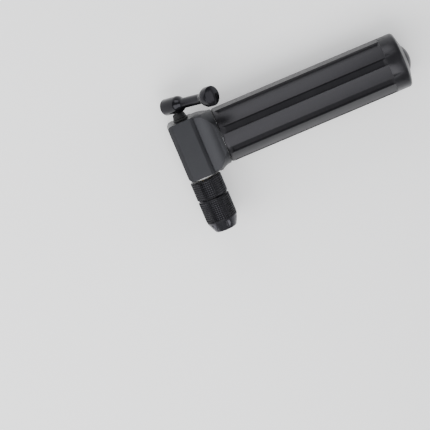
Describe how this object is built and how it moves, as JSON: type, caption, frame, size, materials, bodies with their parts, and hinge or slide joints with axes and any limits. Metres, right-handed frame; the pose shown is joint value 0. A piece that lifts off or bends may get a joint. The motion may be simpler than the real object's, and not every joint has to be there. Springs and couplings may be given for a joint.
{
  "type": "hand air pump",
  "caption": "Pocket hand pump with a fluted sliding handle, a right-angled head, a knurled screw-on valve chuck and a T-shaped release lever on a ribbed neck.",
  "frame": {"origin": "centre of the mouth of the valve port, at the tip of the chuck", "axes": "+X along the pump from the head towards the tail, -Y out of the valve port, +Z out of the head's front face"},
  "size_m": [0.1316, 0.076, 0.0396],
  "materials": {
    "anodised_head": "satin anodised",
    "anodised_sleeve": "brushed anodised",
    "knurled_chuck": "satin anodised",
    "lever_metal": "polished anodised",
    "bare_aluminium": "bare",
    "steel": "plain",
    "brass": "turned",
    "rubber": "matt",
    "seal": "matt",
    "black_plastic": "moulded",
    "black_steel": "black oxide",
    "white_plastic": "plain"
  },
  "bodies": {
    "pump_head": {"head": "anodised_head", "barrel": "bare_aluminium", "barrel_o_ring": "rubber", "valve_seat": "brass", "check_spring": "steel", "rod_gland": "black_plastic", "rod_wiper": "rubber", "chuck_stem": "brass", "stem_o_ring": "rubber", "spacer_washer": "white_plastic", "release_gland": "black_plastic", "release_boot": "rubber", "buffer_ring": "rubber"},
    "ball": {"check_ball": "steel"},
    "seal": {"piston_seal": "seal"},
    "handle": {"sleeve": "anodised_sleeve", "guide_bush": "black_plastic", "piston_rod": "bare_aluminium", "piston": "black_plastic", "piston_screw": "steel", "bumper": "rubber", "end_nut": "anodised_sleeve"},
    "chuck": {"chuck_base": "knurled_chuck", "core_pin": "brass"},
    "gasket": {"valve_gasket": "rubber", "gasket_washer": "brass"},
    "nose": {"chuck_nose": "knurled_chuck"},
    "spindle_ring": {"spindle_o_ring": "rubber"},
    "lever": {"release_spindle": "black_steel", "release_lever": "lever_metal", "lever_screw": "steel"}
  },
  "joints": [
    {"name": "handle_stroke", "type": "slide", "parent": "pump_head", "child": "seal", "axis": [1, 0, 0], "range_m": [0, 0.07]},
    {"name": "handle_turn", "type": "hinge", "parent": "seal", "child": "handle", "pos_m": [0.04, 0.0464, 0], "axis": [1, 0, 0], "continuous": true},
    {"name": "check_lift", "type": "slide", "parent": "pump_head", "child": "ball", "axis": [-1, 0, 0], "range_m": [0, 0.0012], "stiffness_N_per_m": 60, "springref_m": -0.002, "deforming": ["check_spring"]},
    {"name": "chuck_swivel", "type": "hinge", "parent": "pump_head", "child": "chuck", "pos_m": [0, 0.02, 0], "axis": [0, -1, 0], "continuous": true},
    {"name": "nose_advance", "type": "slide", "parent": "chuck", "child": "gasket", "axis": [0, -1, 0], "range_m": [0, 0.002]},
    {"name": "nose_turn", "type": "hinge", "parent": "gasket", "child": "nose", "pos_m": [0, 0.01, 0], "axis": [0, -1, 0], "range_deg": [0, 720]},
    {"name": "spindle_lift", "type": "slide", "parent": "pump_head", "child": "spindle_ring", "axis": [0, 1, 0], "range_m": [0, 0.001]},
    {"name": "lever_turn", "type": "hinge", "parent": "spindle_ring", "child": "lever", "pos_m": [0, 0.072, 0], "axis": [0, 1, 0], "range_deg": [0, 720]}
  ],
  "couplings": [
    {"joint": "nose_advance", "follows": "nose_turn", "m_per_rad": 0.00015915},
    {"joint": "spindle_lift", "follows": "lever_turn", "m_per_rad": 0.000079577}
  ]
}
